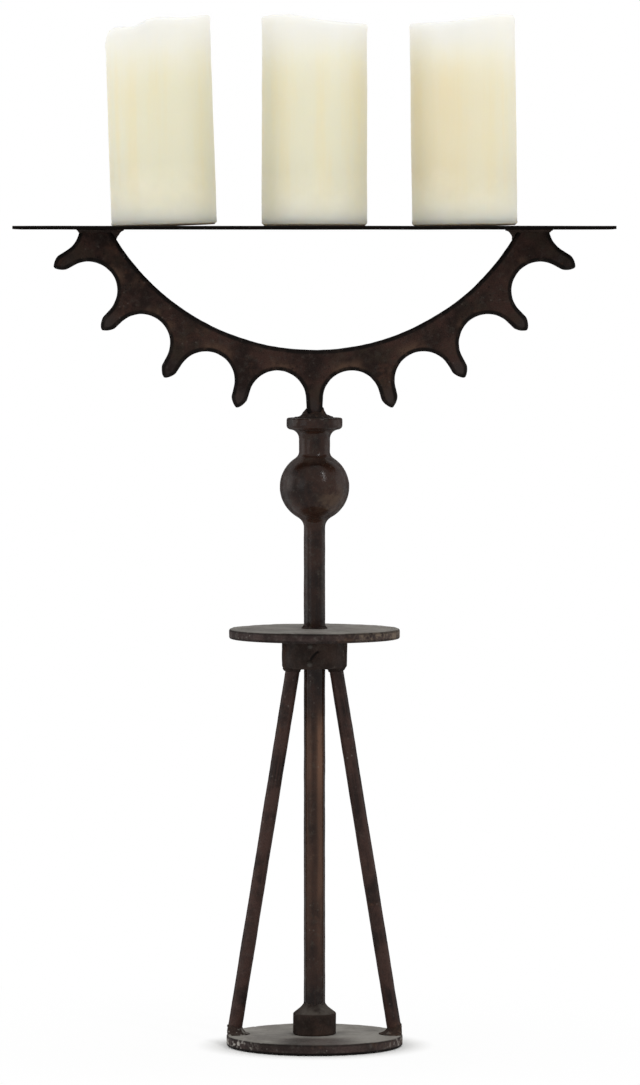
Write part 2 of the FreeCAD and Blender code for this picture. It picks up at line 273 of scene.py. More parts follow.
def new_piece(name, points, faces):
    """An object in the scene with a mesh of these points and faces."""
    mesh = bpy.data.meshes.new(name)
    mesh.from_pydata(points, [], faces)
    mesh.update()
    piece = bpy.data.objects.new(name, mesh)
    scene.collection.objects.link(piece)
    return piece


corner_signs = ((-1, -1), (1, -1), (1, 1), (-1, 1))
corners = [(x * floor_half_width, y * floor_half_width, -floor_drop) for x, y in corner_signs]
floor = new_piece("floor", corners, [range(len(corners))])
floor.data.materials.append(floor_finish)
print("floor of", floor_half_width * 2, "m, white share by the base", floor_white_share)

# %% [markdown]
# ## Soft boxes
# The photograph has one clear glint, tall and narrow, up and to the right of the ball's middle, so its main
# light is a tall soft box in front, to the right and above. Wide boxes fill from both sides and from the front
# left, so that light reaches between the candles, and one overhead lights the discs' tops. Their power is set
# so that a colour renders about as written.

# %% Soft boxes
lamp_aim = Vector((0, 0, (cad_low.z + cad_high.z) / 2))


def soft_box(name, place, width, height, watts):
    lamp = bpy.data.lights.new(name, "AREA")
    lamp.shape = "RECTANGLE"
    lamp.size = width
    lamp.size_y = height
    lamp.energy = watts
    holder = bpy.data.objects.new(name, lamp)
    holder.location = place
    holder.rotation_euler = (lamp_aim - holder.location).to_track_quat("-Z", "Y").to_euler()
    scene.collection.objects.link(holder)
    print(name, "at", place, watts, "W")


soft_box("key", (1.36, -1.9, 2.15), 0.13, 1.7, 16)
soft_box("left side", (-2.8, 0.1, 0.9), 1.5, 1.8, 10)
soft_box("right side", (2.8, 0.1, 0.9), 1.2, 1.6, 4)
soft_box("front left", (-2.0, -1.9, 0.9), 1.2, 1.6, 7)
soft_box("overhead", (0.0, 0.2, 2.6), 1.2, 0.8, 4)

# %% [markdown]
# ## Shared effects
# All the iron has aged together, so the same few effects are on every piece: brown-black oxide that is mottled
# with grey, streaks along drawn bars, blooms of rust, small pits, edges darkened partly by soot and partly by
# painted shade, bright chips, and dust on what faces up. Painting each by hand or with pictures would tie them
# to one piece. As node groups with named inputs they are built once, read the piece's own coordinates, and each
# finish sets its own colours and amounts.

# %% Start a node group
socket_kinds = {"colour": "NodeSocketColor", "value": "NodeSocketFloat"}


def start_group(name, inputs, outputs):
    """An empty shader group with these named sockets. Returns its tree, its inputs and its output node."""
    tree = bpy.data.node_groups.new(name, "ShaderNodeTree")
    for direction, sockets in (("INPUT", inputs), ("OUTPUT", outputs)):
        for socket, kind in sockets.items():
            tree.interface.new_socket(socket, in_out=direction, socket_type=socket_kinds[kind])
    return tree, tree.nodes.new("NodeGroupInput").outputs, tree.nodes.new("NodeGroupOutput")


print("group sockets:", sorted(socket_kinds))

# %% Group: mottled oxide
cloud_scale, fleck_scale, grain_scale = 42, 240, 1300

oxide_group, given, out = start_group(
    "mottled oxide",
    {"Dark": "colour", "Warm": "colour", "Grey": "colour", "Grey Share": "value"},
    {"Colour": "colour", "Roughness": "value", "Height": "value"},
)
place = own_place(oxide_group)
cloud = clouds(oxide_group, place, cloud_scale, 5)
fleck = clouds(oxide_group, place, fleck_scale, 4, 0.7)
grain = clouds(oxide_group, place, grain_scale, 2)
ground_tone = mix(oxide_group, mask(oxide_group, cloud, 0.38, 0.62), given["Dark"], given["Warm"])
grey_share = product(oxide_group, mask(oxide_group, fleck, 0.5, 0.72), given["Grey Share"])
flecked = mix(oxide_group, grey_share, ground_tone, given["Grey"])
shade = mask(oxide_group, grain, 0.3, 0.7, 0.75, 1.2)
feed(oxide_group, out.inputs["Colour"], mix(oxide_group, 1.0, flecked, shade, "MULTIPLY"))
feed(oxide_group, out.inputs["Roughness"], mask(oxide_group, fleck, 0.35, 0.65, 0.66, 0.46))
feed(oxide_group, out.inputs["Height"], reckon(oxide_group, "ADD", fleck, grain))
print("group:", oxide_group.name)

# %% Group: drawn streaks
streak_scale, streak_squash = 300, 0.045

streak_group, given, out = start_group(
    "drawn streaks",
    {"Colour": "colour", "Streak": "colour", "Slant": "value", "Amount": "value"},
    {"Colour": "colour"},
)
axes = coordinates(streak_group)
sideways = reckon(streak_group, "SUBTRACT", axes["X"], product(streak_group, axes["Z"], given["Slant"]))
drawn = drawn_out(streak_group, streak_squash, sideways)
streak = mask(streak_group, clouds(streak_group, drawn, streak_scale, 3), 0.46, 0.68)
streak = product(streak_group, streak, given["Amount"])
feed(streak_group, out.inputs["Colour"], mix(streak_group, streak, given["Colour"], given["Streak"]))
print("group:", streak_group.name)

# %% Group: rust bloom
bloom_scale, speckle_scale, bloom_share, bloom_softness = 26, 330, 0.75, 0.12

rust_group, given, out = start_group(
    "rust bloom",
    {"Colour": "colour", "Rust": "colour", "Start": "value", "Amount": "value"},
    {"Colour": "colour", "Mask": "value"},
)
place = own_place(rust_group)
bloom = clouds(rust_group, place, bloom_scale, 6, 0.66)
speckle = clouds(rust_group, place, speckle_scale, 3)
broad = product(rust_group, bloom, bloom_share)
spread = reckon(rust_group, "ADD", broad, product(rust_group, speckle, 1 - bloom_share))
full = reckon(rust_group, "ADD", given["Start"], bloom_softness)
patch = product(rust_group, mask(rust_group, spread, given["Start"], full), given["Amount"])
shade = mask(rust_group, speckle, 0.35, 0.65, 0.5, 1.2)
rust_tone = mix(rust_group, 1.0, given["Rust"], shade, "MULTIPLY")
feed(rust_group, out.inputs["Colour"], mix(rust_group, patch, given["Colour"], rust_tone))
feed(rust_group, out.inputs["Mask"], patch)
print("group:", rust_group.name)

# %% Group: pits
pit_scale, pit_field_scale = 380, 55
pit_black = (0.006, 0.0045, 0.004, 1.0)

pit_group, given, out = start_group(
    "pits", {"Colour": "colour", "Amount": "value"}, {"Colour": "colour", "Depth": "value"}
)
cells = put(pit_group, "ShaderNodeTexVoronoi", {"Vector": own_place(pit_group), "Scale": pit_scale}).outputs
field = patches(pit_group, pit_field_scale, 0.5, 0.66)
depth = product(pit_group, mask(pit_group, cells["Distance"], 0.12, 0.34, 1.0, 0.0), field, given["Amount"])
feed(pit_group, out.inputs["Colour"], mix(pit_group, depth, given["Colour"], pit_black))
feed(pit_group, out.inputs["Depth"], depth)
print("group:", pit_group.name)

# %% Group: edge tone
edge_scale = 150
edge_mark = "near_edge"

edge_group, given, out = start_group(
    "edge tone", {"Colour": "colour", "Edge": "colour", "Amount": "value"}, {"Colour": "colour"}
)
# The edge colour is partly soot and partly a painted shade along the outline.
near = put(edge_group, "ShaderNodeAttribute", attribute_name=edge_mark).outputs["Fac"]
broken = patches(edge_group, edge_scale, 0.34, 0.54, 0.5, 1.0)
edge_darkening = product(edge_group, mask(edge_group, near, 0.1, 0.6), broken, given["Amount"])
feed(edge_group, out.inputs["Colour"], mix(edge_group, edge_darkening, given["Colour"], given["Edge"]))
print("group:", edge_group.name)

# %% Group: settled dust
dust_scale = 34

dust_group, given, out = start_group(
    "settled dust",
    {"Colour": "colour", "Dust": "colour", "Amount": "value", "Patchiness": "value"},
    {"Colour": "colour", "Upward": "value"},
)
upward = mask(dust_group, facing(dust_group)["Z"], 0.6, 0.97)
bare = patches(dust_group, dust_scale, 0.35, 0.65, 1.0, 0.0, 6, 0.68)
cover = reckon(dust_group, "SUBTRACT", 1.0, product(dust_group, bare, given["Patchiness"]))
film = product(dust_group, upward, cover, given["Amount"])
feed(dust_group, out.inputs["Colour"], mix(dust_group, film, given["Colour"], given["Dust"]))
feed(dust_group, out.inputs["Upward"], upward)
print("group:", dust_group.name)

# %% Group: bright chips
chip_scale, chip_field_scale = 330, 60

chip_group, given, out = start_group(
    "bright chips", {"Colour": "colour", "Bare": "colour", "Amount": "value"}, {"Colour": "colour"}
)
cells = put(chip_group, "ShaderNodeTexVoronoi", {"Vector": own_place(chip_group), "Scale": chip_scale}).outputs
chosen = put(chip_group, "ShaderNodeSeparateColor", {0: cells["Color"]}).outputs[0]
chosen = mask(chip_group, chosen, 0.7, 0.74)
field = patches(chip_group, chip_field_scale, 0.46, 0.64)
flake = mask(chip_group, cells["Distance"], 0.14, 0.3, 1.0, 0.0)
chip = product(chip_group, flake, chosen, field, given["Amount"])
feed(chip_group, out.inputs["Colour"], mix(chip_group, chip, given["Colour"], given["Bare"]))
print("group:", chip_group.name)

# %% [markdown]
# ## Stains, painted light and painted shade in known places
# Some stains follow from how the object was used or made, so noise alone doesn't put them right, and a few
# marks are painted light and shade: old chain grease and a painted shade along the outline blacken the segment's
# flanks and edges, rollers wore its tooth tips, wear and a painted highlight where their edges catch light make
# the roots of its notches tan, damp left a tan rim on the right of the middle disc, a painted shadow blackens the
# base's foot, the base's rim is chipped at its ends, dust lies on the discs, dust and a painted highlight lie on
# the socket's shoulder, the plate's rim is near black, the collar has a scar of weld with a painted shade along
# its groove, and streaks of rust with painted highlight stripes run down the post, strongest on the right. Each
# is a soft mask worked out from the piece's own coordinates and normals.

# %% Stains on the toothed segment
wheel_teeth = 24
wheel_tip_radius = 215.8 * mm
wheel_root_radius = 183.6 * mm
wheel_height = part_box("gear_segment")[0].z + wheel_tip_radius


def slant_length(tree, first, second):
    """Length of a line from its two sides."""
    squares = reckon(tree, "ADD", reckon(tree, "POWER", first, 2.0), reckon(tree, "POWER", second, 2.0))
    return reckon(tree, "SQRT", squares)


def from_wheel(tree):
    """How far to the right of the wheel's middle a place is, and how far below it."""
    place = coordinates(tree)
    return place["X"], reckon(tree, "SUBTRACT", wheel_height, place["Z"])


def chain_wear_and_highlight(tree):
    """Band along the roots of the notches, between the teeth: partly wear, partly a painted highlight where their
    edges catch light.
    """
    right, drop = from_wheel(tree)
    turn = product(tree, reckon(tree, "ARCTAN2", right, drop), wheel_teeth)
    notch = mask(tree, reckon(tree, "COSINE", turn), -0.9, 0.3, 1.0, 0.0)
    radius = slant_length(tree, right, drop)
    band = mask(tree, radius, wheel_root_radius - 10 * mm, wheel_root_radius - 2 * mm)
    return product(tree, notch, band, patches(tree, 70, 0.4, 0.6, detail=5))


def tooth_tips(tree):
    """Outer part of the teeth, rubbed grey."""
    radius = slant_length(tree, *from_wheel(tree))
    outer = mask(tree, radius, wheel_tip_radius - 20 * mm, wheel_tip_radius - 4 * mm, 0.0, 0.75)
    return product(tree, outer, patches(tree, 60, 0.36, 0.55))


def grease_and_outline_shade(tree):
    """All that doesn't face squarely forwards or backwards: partly grease, partly a painted shade along the outline.
    """
    return mask(tree, reckon(tree, "ABSOLUTE", facing(tree)["Y"]), 0.8, 0.95, 1.0, 0.0)


def olive_bloom(tree):
    """Broad greenish patches in the oxide."""
    return patches(tree, 34, 0.48, 0.64, 0.0, 0.6, 6, 0.7)


print("wheel centre at", round(wheel_height, 4), "m")

# %% Stains on the discs and the plate
disc_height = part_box("middle_disc")[0].z


def tan_rim(tree):
    """Right part of the middle disc's rim."""
    place = coordinates(tree)
    side = mask(tree, place["X"], 14 * mm, 40 * mm)
    high = mask(tree, place["Z"], disc_height - 3 * mm, disc_height)
    return product(tree, side, high, patches(tree, 130, 0.42, 0.58, detail=5, roughness=0.7))


def rim_chips(tree):
    """Pale chips at the two ends of the base's rim, most on the left beside the foot of the stay."""
    place = coordinates(tree)
    left = mask(tree, place["X"], -57 * mm, -38 * mm, 1.0, 0.0)
    right = mask(tree, place["X"], 46 * mm, 62 * mm, 0.0, 0.6)
    low = mask(tree, place["Z"], 10 * mm, 14 * mm, 1.0, 0.0)
    return product(tree, patches(tree, 210, 0.53, 0.6, detail=3), reckon(tree, "ADD", left, right), low)


def base_foot_shadow(tree):
    """Lowest edge of the base's rim, painted black: a painted shadow where it meets the floor."""
    return mask(tree, coordinates(tree)["Z"], 1.2 * mm, 2.4 * mm, 1.0, 0.0)


def dust_on_discs(tree):
    """Thick dust on the base, less in front of its socket, and on the middle disc."""
    place = coordinates(tree)
    front = mask(tree, place["Y"], -34 * mm, -12 * mm, 1.0, 0.0)
    middle = mask(tree, reckon(tree, "ABSOLUTE", place["X"]), 12 * mm, 38 * mm, 1.0, 0.12)
    low = mask(tree, place["Z"], 10 * mm, 20 * mm, 1.0, 0.0)
    cover = mask(tree, place["Z"], 100 * mm, 200 * mm, 1.0, 0.8)
    return reckon(tree, "SUBTRACT", cover, product(tree, front, middle, low, 0.8))


def plate_rim(tree):
    """The plate's edge and underside, near black."""
    return mask(tree, facing(tree)["Z"], 0.7, 0.95, 1.0, 0.0)


print("middle disc from", round(disc_height, 4), "m")

# %% Stains on the turned pieces
nubs = ((-3.0 * mm, 289.7 * mm), (-3.4 * mm, 276.6 * mm))
scar_middle = (-0.6 * mm, 283.2 * mm)
scar_slope = math.radians(48)
scar_reach = 4.6 * mm
scar_bow = 40.0
post_radius = 7.7 * mm
streak_start = (disc_height - 72 * mm, disc_height - 42 * mm)
streak_fading = (disc_height - 125 * mm, disc_height - 85 * mm)
streak_end = (35 * mm, 120 * mm)
ball_patch_place = (13 * mm, -19 * mm, 393 * mm)


def on_front(tree, place):
    return mask(tree, place["Y"], -6 * mm, -2 * mm, 1.0, 0.0)


def scar_line(tree):
    """Dark slanting line of the scar on the collar's front, a painted shade along its groove."""
    place = coordinates(tree)
    right = reckon(tree, "SUBTRACT", place["X"], scar_middle[0])
    up = reckon(tree, "SUBTRACT", place["Z"], scar_middle[1])
    rise, run = math.sin(scar_slope), math.cos(scar_slope)
    along = reckon(tree, "ADD", product(tree, right, run), product(tree, up, rise))
    across = reckon(tree, "SUBTRACT", product(tree, up, run), product(tree, right, rise))
    bow = product(tree, reckon(tree, "POWER", along, 2.0), scar_bow)
    gap = reckon(tree, "ABSOLUTE", reckon(tree, "ADD", across, bow))
    line = mask(tree, gap, 0.3 * mm, 1.3 * mm, 1.0, 0.0)
    ends = mask(tree, reckon(tree, "ABSOLUTE", along), scar_reach - 1 * mm, scar_reach + 1 * mm, 1.0, 0.0)
    return product(tree, line, ends, on_front(tree, place))


def scar_nubs(tree):
    """Lighter nubs of weld at the two ends of the scar."""
    place = coordinates(tree)
    spots = 0.0
    for across, up in nubs:
        right = reckon(tree, "SUBTRACT", place["X"], across)
        gap = slant_length(tree, right, reckon(tree, "SUBTRACT", place["Z"], up))
        spots = reckon(tree, "MAXIMUM", mask(tree, gap, 0.8 * mm, 2.4 * mm, 0.8, 0.0), spots)
    return product(tree, spots, on_front(tree, place))


def shoulder_dust_and_highlight(tree):
    """Thin dust and a painted highlight on the socket's sloping shoulder."""
    slope = mask(tree, facing(tree)["Z"], 0.3, 0.6, 0.0, 0.8)
    return product(tree, slope, patches(tree, 90, 0.36, 0.6, detail=5))


def ball_patch(tree):
    """Tan patch low on the right of the ball."""
    from_patch = put(tree, "ShaderNodeVectorMath", {0: own_place(tree), 1: ball_patch_place}, operation="DISTANCE")
    near = mask(tree, from_patch.outputs["Value"], 5 * mm, 16 * mm, 0.75, 0.0)
    return product(tree, near, patches(tree, 120, 0.36, 0.56, detail=5))


def post_rust_and_highlight_streaks(tree):
    """Upright streaks left and right of the post's front, below the middle disc and strongest on the right: partly
    rust, partly painted highlight stripes of the side light.
    """
    place = coordinates(tree)
    out = reckon(tree, "DIVIDE", reckon(tree, "ABSOLUTE", place["X"]), post_radius)
    inner, outer = mask(tree, out, 0.1, 0.45, 0.22, 1.0), mask(tree, out, 0.65, 0.92, 1.0, 0.0)
    side = mask(tree, place["X"], -2 * mm, 2 * mm, 0.42, 1.0)
    upper = mask(tree, place["Z"], *streak_start, 1.0, 0.0)
    fading = mask(tree, place["Z"], *streak_fading, 0.5, 1.0)
    low = mask(tree, place["Z"], *streak_end)
    broken = mask(tree, clouds(tree, drawn_out(tree, 0.12), 150, 2), 0.26, 0.56)
    return product(tree, inner, outer, side, upper, fading, low, broken)


print("streaks on the post end at", streak_end[0], "m")

# %% [markdown]
# ## Iron finishes
# Iron under thick oxide hardly mirrors, so the finishes are not metallic: a dark base colour, a fairly rough
# surface and a weak shine come closest. Seen at a low angle even such a surface would mirror the white
# surroundings in a pale line, which the photograph doesn't show, so the roughness rises towards the outline.
# One function chains the groups, the stains and the painted light and shade, and each finish gives the colours
# and amounts that the photograph shows on that piece. Its four tones are dark, warm, grey and rust.

# %% Iron finish
iron_bump_height = 0.5 * mm
# Near black: soot, and painted shade on edges, on the gear's flanks and in the collar's scar, and a painted shadow on
# the base's foot.
soot_and_shade = (0.005, 0.0035, 0.003)
plate_black = (0.003, 0.0022, 0.0018)
chip_tone = (0.2, 0.18, 0.16, 1.0)
pale_dust = (0.25, 0.237, 0.213, 1.0)
rust_dulling = 0.2
dust_fill = 0.85
outline_blend = 0.5
outline_reach = (0.3, 0.75)
finishes = {}


def opaque(tone):
    return (*tone, 1.0)


def effect(tree, group, inputs):
    """Place a shared effect in a material and feed its inputs."""
    return put(tree, "ShaderNodeGroup", inputs, node_tree=group).outputs


def iron(name, tones, grey_share=0.3, rust_start=0.55, rust_amount=0.4, stains_and_painted_light=(), streaks=0.0, slant=0.0, pits=0.5,
         edges=0.7, chips=0.3, dust=0.1, patchiness=0.8, shine=0.08, gloss=0.05, bump=0.3, outline_dulling=0.55):
    """Aged iron: oxide, streaks, rust, stains with painted light and shade, pits, edges, chips and dust, in that
    order.
    """
    dark, warm, grey, rust = [opaque(tone) for tone in tones]
    finish, tree, surface = new_finish(name)
    oxide = effect(tree, oxide_group, {"Dark": dark, "Warm": warm, "Grey": grey, "Grey Share": grey_share})
    drawn = effect(tree, streak_group, {"Colour": oxide["Colour"], "Streak": warm, "Slant": slant, "Amount": streaks})
    rusted = effect(tree, rust_group, {"Colour": drawn["Colour"], "Rust": rust, "Start": rust_start,
                                       "Amount": rust_amount})
    colour = rusted["Colour"]
    for colour_mask, tone in stains_and_painted_light:
        colour = mix(tree, colour_mask(tree), colour, opaque(tone))
    pitted = effect(tree, pit_group, {"Colour": colour, "Amount": pits})
    edged = effect(tree, edge_group, {"Colour": pitted["Colour"], "Edge": opaque(soot_and_shade), "Amount": edges})
    chipped = effect(tree, chip_group, {"Colour": edged["Colour"], "Bare": chip_tone, "Amount": chips})
    cover = dust(tree) if callable(dust) else dust
    dusty = effect(tree, dust_group, {"Colour": chipped["Colour"], "Dust": pale_dust, "Amount": cover,
                                      "Patchiness": patchiness})
    dull = reckon(tree, "ADD", oxide["Roughness"], product(tree, rusted["Mask"], rust_dulling))
    turned_away = put(tree, "ShaderNodeLayerWeight", {"Blend": outline_blend}).outputs["Facing"]
    at_outline = mask(tree, turned_away, *outline_reach, 0.0, outline_dulling)
    relief = reckon(tree, "SUBTRACT", oxide["Height"], pitted["Depth"])
    left = reckon(tree, "SUBTRACT", 1.0, product(tree, dusty["Upward"], dust_fill))
    bumps = put(tree, "ShaderNodeBump", {"Height": product(tree, relief, left), "Strength": bump,
                                         "Distance": iron_bump_height})
    feed(tree, surface.inputs["Base Color"], dusty["Colour"])
    feed(tree, surface.inputs["Roughness"], reckon(tree, "ADD", reckon(tree, "SUBTRACT", dull, gloss), at_outline))
    surface.inputs["Specular IOR Level"].default_value = shine
    feed(tree, surface.inputs["Normal"], bumps.outputs["Normal"])
    finishes[name] = finish


iron("cast_gear",
     ((0.013, 0.0075, 0.0062), (0.034, 0.0172, 0.0135), (0.037, 0.032, 0.027), (0.056, 0.028, 0.0185)),
     grey_share=0.45, rust_start=0.54,
     stains_and_painted_light=((olive_bloom, (0.027, 0.0195, 0.0135)), (tooth_tips, (0.026, 0.021, 0.02)),
             (chain_wear_and_highlight, (0.062, 0.036, 0.024)), (grease_and_outline_shade, soot_and_shade)),
     pits=0.8, edges=1.0, chips=0.12, shine=0.05, bump=0.5)
iron("turned_iron",
     ((0.0075, 0.0032, 0.0022), (0.0255, 0.0113, 0.0073), (0.034, 0.029, 0.0225), (0.06, 0.034, 0.021)),
     grey_share=0.6, rust_start=0.56, rust_amount=0.55,
     stains_and_painted_light=((post_rust_and_highlight_streaks, (0.118, 0.0595, 0.0355)), (ball_patch, (0.062, 0.038, 0.024))),
     streaks=0.4, pits=0.4, edges=0.6, chips=0.2, shine=0.15, gloss=0.4, bump=0.1)
iron("dull_turned_iron",
     ((0.017, 0.0115, 0.0093), (0.037, 0.0235, 0.0185), (0.046, 0.041, 0.034), (0.068, 0.034, 0.022)),
     rust_amount=0.6,
     stains_and_painted_light=((shoulder_dust_and_highlight, (0.062, 0.053, 0.045)), (scar_nubs, (0.06, 0.054, 0.048)), (scar_line, soot_and_shade)),
     edges=0.5, chips=0.15, shine=0.06, gloss=0.08, bump=0.25)
iron("plate_iron",
     ((0.02, 0.0135, 0.0122), (0.046, 0.0315, 0.0285), (0.075, 0.066, 0.058), (0.08, 0.046, 0.03)),
     grey_share=0.5,
     stains_and_painted_light=((tan_rim, (0.125, 0.095, 0.07)), (rim_chips, (0.3, 0.28, 0.255)), (base_foot_shadow, soot_and_shade)),
     edges=0.6, chips=0.6, dust=dust_on_discs, patchiness=0.4, shine=0.07, gloss=0.02, outline_dulling=0.2)
iron("strip_iron",
     ((0.014, 0.0095, 0.008), (0.034, 0.0205, 0.015), (0.07, 0.062, 0.053), (0.095, 0.048, 0.027)),
     grey_share=0.5, rust_start=0.53, rust_amount=0.6, stains_and_painted_light=((plate_rim, plate_black),), pits=0.6, chips=0.1,
     dust=0.75, patchiness=0.65, shine=0.02)
iron("weld_metal",
     ((0.0115, 0.0075, 0.0063), (0.028, 0.0175, 0.0137), (0.055, 0.048, 0.043), (0.07, 0.039, 0.024)),
     grey_share=0.25, stains_and_painted_light=((rim_chips, (0.2, 0.185, 0.165)),), pits=0.6, edges=0.0, chips=0.35, dust=0.04,
     shine=0.06, gloss=0.1, bump=0.5)
print("iron finishes:", sorted(finishes))

# %% [markdown]
# ## Fine skins for the iron
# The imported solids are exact, and worn iron isn't: its edges are soft, castings swell a little, and rims are
# dented. One could sculpt that by hand. Here each solid is copied, the Remesh modifier rebuilds its surface from
# small even cells, a few smoothing steps take the edge off, and then every point moves along its normal by
# noise whose sizes are given in millimetres. The copy replaces its solid in the picture.

# %% Fine skin
record = frame["record"]
slot_of = {row["node"]: row["material_slot"] for row in record["subparts"]}
body_of = {node: body for body, names in record["behaviour"]["bodies"].items() for node in names}
sharp_angle = math.radians(28)
edge_step = 0.5 * mm
merge_reach = 0.01 * mm
dent_shuffle = 3.7


def fine_copy(node, cell, soft_steps):
    """A copy of a solid's surface in small even faces with soft edges."""
    piece = bpy.data.objects.new(node + "_skin", nodes[node].data.copy())
    scene.collection.objects.link(piece)
    even = piece.modifiers.new("even", "REMESH")
    even.mode = "VOXEL"
    even.voxel_size = cell
    soft = piece.modifiers.new("soft", "SMOOTH")
    soft.iterations = soft_steps
    graph = bpy.context.evaluated_depsgraph_get()
    piece.data = bpy.data.meshes.new_from_object(piece.evaluated_get(graph))
    piece.modifiers.clear()
    return piece


def press(piece, height_at):
    """Move each point along its normal by the height in metres that height_at gives for its place."""
    points = piece.data.vertices
    moved = [point.co + point.normal * height_at(point.co) for point in points]
    for point, place in zip(points, moved):
        point.co = place
    piece.data.update()


def dress(piece, node, finish):
    """Let a piece stand for a solid: same body, smooth shading and its finish."""
    piece.data.materials.clear()
    piece.data.materials.append(finish)
    piece.data.shade_smooth()
    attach(piece, body_of[node])
    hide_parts(node)
    print(piece.name, len(piece.data.polygons), "faces")


def mark_edges(piece, node, reach):
    """Store on each point how near the solid's sharp edges are: 1 on an edge, 0 at the reach from it."""
    solid = bmesh.new()
    solid.from_mesh(nodes[node].data)
    bmesh.ops.remove_doubles(solid, verts=solid.verts, dist=merge_reach)
    marks = []
    for edge in solid.edges:
        if len(edge.link_faces) == 2 and edge.calc_face_angle() > sharp_angle:
            first, last = (point.co.copy() for point in edge.verts)
            count = max(1, round((last - first).length / edge_step))
            marks += [first.lerp(last, step / count) for step in range(count + 1)]
    solid.free()
    finder = KDTree(len(marks))
    for number, mark in enumerate(marks):
        finder.insert(mark, number)
    finder.balance()
    nearness = [max(0.0, 1 - finder.find(point.co)[2] / reach) for point in piece.data.vertices]
    piece.data.attributes.new(edge_mark, "FLOAT", "POINT").data.foreach_set("value", nearness)
    print(node, len(marks), "marks along its edges")


def skin(node, cell, height_at, soft_steps=2, finish=None, edge_reach=0.0):
    """Dress a solid in a fine copy of itself with this relief."""
    piece = fine_copy(node, cell, soft_steps)
    if edge_reach:
        mark_edges(piece, node, edge_reach)
    press(piece, height_at)
    dress(piece, node, finishes[finish or slot_of[node]])


def swells(place, length, height, seed=0.0):
    """Smooth ups and downs of about this length and at most this height."""
    return height * noise.noise(place / length + Vector((seed, 0, 0)))


def dents(place, spacing, width, depth, seed=0.0):
    """Round hollows, about one to a spacing, each of its own depth."""
    distances, centres = noise.voronoi(place / spacing + Vector((seed, 0, 0)))
    inside = max(0.0, 1 - (distances[0] * spacing / width) ** 2)
    return -depth * inside * inside * abs(noise.noise(centres[0] * dent_shuffle))


print("bodies:", sorted(set(body_of.values())))

# %% [markdown]
# ## Toothed segment
# The arc was cut out of a cast chain wheel. Sand casting leaves gentle swells and blow holes on the faces, and
# years of rust have pitted them, so this skin has broad swells, small ones, and scattered round pits.

# %% Toothed segment
skin("gear_segment", 0.94 * mm, lambda place: (
    swells(place, 24 * mm, 0.3 * mm) + swells(place, 5 * mm, 0.14 * mm, 3.1)
    + dents(place, 8 * mm, 2.2 * mm, 0.9 * mm) + dents(place, 3.5 * mm, 1.1 * mm, 0.35 * mm, 9.0)),
    soft_steps=1, edge_reach=2.8 * mm)

# %% [markdown]
# ## Discs
# Both discs are flame-cut from thick plate: flat on top, with a rim that has been knocked and chipped. The
# dents are therefore deeper near the rim than on the flats.

# %% Discs
flat_foot = 0.8 * mm
rim_width = 4 * mm


def disc_relief(node):
    """Relief for a round plate: nearly flat inside, chipped at the rim."""
    low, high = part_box(node)
    rim = (high.x - low.x) / 2

    def height_at(place):
        if place.z < low.z + flat_foot:
            return 0.0
        nearness = max(0.0, 1 - (rim - math.hypot(place.x, place.y)) / rim_width)
        chips = dents(place, 7 * mm, 2.6 * mm, 1.6 * mm, 5.0) + swells(place, 9 * mm, 0.25 * mm, 2.0)
        return swells(place, 30 * mm, 0.25 * mm) + swells(place, 5 * mm, 0.08 * mm, 1.0) + chips * min(1.0, nearness)

    return height_at


for node in ("base_disc", "middle_disc"):
    skin(node, 0.8 * mm, disc_relief(node), soft_steps=3, edge_reach=1.4 * mm)

# %% [markdown]
# ## Turned post, socket and collar
# The post with its ball, neck and flange came off a lathe, so its relief is fainter than the casting's. The
# collar has a scar in front: two nubs of weld and a slanting groove between them, made here from distances to
# a few points.

# %% Turned pieces
def turned_relief(place):
    return (swells(place, 16 * mm, 0.16 * mm) + swells(place, 4 * mm, 0.06 * mm, 4.0)
            + dents(place, 7 * mm, 1.4 * mm, 0.45 * mm, 2.0))


skin("spindle_post", 0.85 * mm, turned_relief)
skin("post_socket", 0.7 * mm, turned_relief, finish="dull_turned_iron")

# %% Collar with its scar
nub_radius, nub_height = 2.6 * mm, 1.3 * mm
half_scar = Vector((math.cos(scar_slope), math.sin(scar_slope))) * scar_reach
groove = (Vector(scar_middle) + half_scar, Vector(scar_middle) - half_scar)
groove_width, groove_depth = 2.0 * mm, 0.8 * mm


def collar_relief(place):
    height = turned_relief(place) + swells(place, 7 * mm, 0.3 * mm, 6.0)
    if place.y > 0:
        return height
    spot = Vector((place.x, place.z))
    for nub in nubs:
        height += nub_height * max(0.0, 1 - (spot - Vector(nub)).length_squared / nub_radius ** 2)
    run = groove[1] - groove[0]
    share = min(1.0, max(0.0, (spot - groove[0]).dot(run) / run.length_squared))
    gap = (spot - groove[0] - run * share).length
    return height - groove_depth * max(0.0, 1 - (gap / groove_width) ** 2)


skin("stay_collar", 0.65 * mm, collar_relief, finish="dull_turned_iron")

# %% [markdown]
# ## Stays
# The two slanting stays are plain round bars. Drawing the bar left fine streaks along it, so their finish
# needs the slant of the bar, which is measured from the solid.

# %% Stays
bar_diameter = 10.3 * mm


def bar_relief(place):
    return (swells(place, 30 * mm, 0.2 * mm) + swells(place, 5 * mm, 0.08 * mm, 8.0)
            + dents(place, 9 * mm, 1.5 * mm, 0.5 * mm, 1.0))


for node, sign in (("left_stay", 1), ("right_stay", -1)):
    low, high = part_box(node)
    slant = sign * (high.x - low.x - bar_diameter) / (high.z - low.z)
    iron(node + "_iron",
         ((0.013, 0.0078, 0.0066), (0.042, 0.022, 0.0175), (0.045, 0.037, 0.032), (0.068, 0.033, 0.02)),
         rust_start=0.56, rust_amount=0.45, streaks=0.75, slant=slant, pits=0.4, shine=0.1, gloss=0.15, bump=0.2)
    skin(node, 0.85 * mm, bar_relief, finish=node + "_iron")

